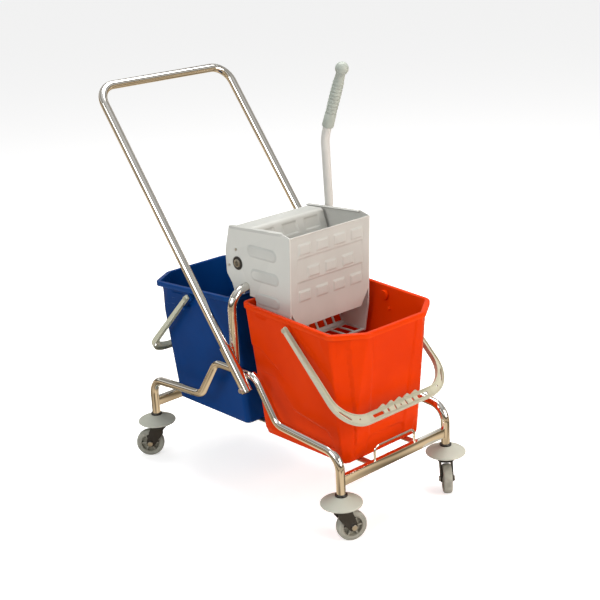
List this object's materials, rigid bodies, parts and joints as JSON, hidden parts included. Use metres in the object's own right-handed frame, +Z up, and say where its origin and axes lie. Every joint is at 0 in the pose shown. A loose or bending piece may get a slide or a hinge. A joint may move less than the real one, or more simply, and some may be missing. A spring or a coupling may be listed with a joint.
{
  "type": "mop bucket trolley with wringer",
  "caption": "Tube-framed mopping trolley on swivel castors with a red and a blue bucket, a lever wringer hung on an arch and a push handle.",
  "frame": {"origin": "on the floor, below the middle of the wringer arch, midway between the four castor stems", "axes": "+X towards the front (red) bucket, +Y towards the wringer lever's side, +Z up"},
  "size_m": [0.8736, 0.4692, 1.0615],
  "materials": {
    "chromed_tube": "bright chrome plate on bent steel tube",
    "plated_steel": "zinc-plated steel, satin",
    "red_plastic": "moulded polypropylene, satin gloss",
    "blue_plastic": "moulded polypropylene, satin gloss",
    "bail_plastic": "moulded plastic, satin",
    "grey_coat": "smooth light-grey coating on sheet steel",
    "lever_coat": "smooth off-white coating on tube",
    "grip_plastic": "ribbed grey plastic",
    "bumper_rubber": "soft grey rubber",
    "tyre_rubber": "non-marking grey rubber",
    "black_plastic": "black nylon",
    "wheel_plastic": "grey nylon"
  },
  "bodies": {
    "frame": {"side_tube_right": "chromed_tube", "side_tube_left": "chromed_tube", "bucket_rail_right": "plated_steel", "bucket_rail_left": "plated_steel", "handle_sleeve_right": "chromed_tube", "handle_sleeve_left": "chromed_tube", "cross_bar_rear": "chromed_tube", "cross_bar_front": "chromed_tube", "guard_loop_rear": "chromed_tube", "guard_loop_front": "chromed_tube", "wringer_arch": "chromed_tube", "sleeve_stubs": "chromed_tube", "sleeve_stop_bolts": "plated_steel", "castor_stems": "plated_steel", "castor_gaskets": "black_plastic", "bumper_rear_right": "bumper_rubber", "bumper_rear_left": "bumper_rubber", "bumper_front_right": "bumper_rubber", "bumper_front_left": "bumper_rubber"},
    "handle": {"push_handle": "chromed_tube"},
    "red_bucket": {"red_bucket": "red_plastic", "red_bail_pins": "bail_plastic"},
    "blue_bucket": {"blue_bucket": "blue_plastic", "blue_bail_pins": "bail_plastic"},
    "red_bail": {"red_bail": "bail_plastic"},
    "blue_bail": {"blue_bail": "bail_plastic"},
    "wringer": {"wringer_side_right": "grey_coat", "wringer_side_left": "grey_coat", "front_plate": "grey_coat", "back_panel": "grey_coat", "drain_grid": "grey_coat", "stop_rod": "plated_steel", "tie_rod": "plated_steel", "shaft_bushes": "black_plastic"},
    "jaw": {"jaw_plate": "grey_coat", "jaw_bracket_right": "grey_coat", "jaw_bracket_left": "grey_coat", "jaw_shaft": "plated_steel", "lever_hub": "lever_coat", "lever_pin": "plated_steel", "lever_tube": "lever_coat", "lever_grip": "grip_plastic"},
    "castor_rear_right": {"fork_rear_right": "black_plastic", "axle_bolt_rear_right": "plated_steel"},
    "wheel_rear_right": {"tyre_rear_right": "tyre_rubber", "hub_rear_right": "wheel_plastic"},
    "castor_rear_left": {"fork_rear_left": "black_plastic", "axle_bolt_rear_left": "plated_steel"},
    "wheel_rear_left": {"tyre_rear_left": "tyre_rubber", "hub_rear_left": "wheel_plastic"},
    "castor_front_right": {"fork_front_right": "black_plastic", "axle_bolt_front_right": "plated_steel"},
    "wheel_front_right": {"tyre_front_right": "tyre_rubber", "hub_front_right": "wheel_plastic"},
    "castor_front_left": {"fork_front_left": "black_plastic", "axle_bolt_front_left": "plated_steel"},
    "wheel_front_left": {"tyre_front_left": "tyre_rubber", "hub_front_left": "wheel_plastic"}
  },
  "joints": [
    {"name": "castor_rear_right_swivel", "type": "hinge", "parent": "frame", "child": "castor_rear_right", "pos_m": [-0.3585, -0.184, 0.09], "axis": [0, 0, 1], "continuous": true},
    {"name": "wheel_rear_right_spin", "type": "hinge", "parent": "castor_rear_right", "child": "wheel_rear_right", "pos_m": [-0.37389, -0.20109, 0.0375], "axis": [0.7431, -0.6691, 0], "continuous": true},
    {"name": "castor_rear_left_swivel", "type": "hinge", "parent": "frame", "child": "castor_rear_left", "pos_m": [-0.3585, 0.184, 0.09], "axis": [0, 0, 1], "continuous": true},
    {"name": "wheel_rear_left_spin", "type": "hinge", "parent": "castor_rear_left", "child": "wheel_rear_left", "pos_m": [-0.37842, 0.1955, 0.0375], "axis": [-0.5, -0.866, 0], "continuous": true},
    {"name": "castor_front_right_swivel", "type": "hinge", "parent": "frame", "child": "castor_front_right", "pos_m": [0.3585, -0.184, 0.09], "axis": [0, 0, 1], "continuous": true},
    {"name": "wheel_front_right_spin", "type": "hinge", "parent": "castor_front_right", "child": "wheel_front_right", "pos_m": [0.36637, -0.16239, 0.0375], "axis": [-0.9397, 0.342, 0], "continuous": true},
    {"name": "castor_front_left_swivel", "type": "hinge", "parent": "frame", "child": "castor_front_left", "pos_m": [0.3585, 0.184, 0.09], "axis": [0, 0, 1], "continuous": true},
    {"name": "wheel_front_left_spin", "type": "hinge", "parent": "castor_front_left", "child": "wheel_front_left", "pos_m": [0.37559, 0.16861, 0.0375], "axis": [0.6691, 0.7431, 0], "continuous": true},
    {"name": "handle_lift", "type": "slide", "parent": "frame", "child": "handle", "axis": [-0.6021, 0, 0.7984], "range_m": [0, 0.1]},
    {"name": "wringer_lift", "type": "slide", "parent": "frame", "child": "wringer", "axis": [0, 0, 1], "range_m": [0, 0.4]},
    {"name": "red_bucket_lift", "type": "slide", "parent": "frame", "child": "red_bucket", "axis": [0, 0, 1], "range_m": [0, 0.2]},
    {"name": "blue_bucket_lift", "type": "slide", "parent": "frame", "child": "blue_bucket", "axis": [0, 0, 1], "range_m": [0, 0.2]},
    {"name": "red_bail_swing", "type": "hinge", "parent": "red_bucket", "child": "red_bail", "pos_m": [0.187, 0, 0.48763], "axis": [0, -1, 0], "range_deg": [0, 130]},
    {"name": "blue_bail_swing", "type": "hinge", "parent": "blue_bucket", "child": "blue_bail", "pos_m": [-0.187, 0, 0.48763], "axis": [0, 1, 0], "range_deg": [0, 130]},
    {"name": "jaw_press", "type": "hinge", "parent": "wringer", "child": "jaw", "pos_m": [-0.0275, 0, 0.6], "axis": [0, -1, 0], "range_deg": [0, 30]}
  ],
  "couplings": [
    {"joint": "red_bucket_lift", "follows": "wringer_lift", "ratio": 0.5},
    {"joint": "blue_bucket_lift", "follows": "wringer_lift", "ratio": 0.5}
  ]
}
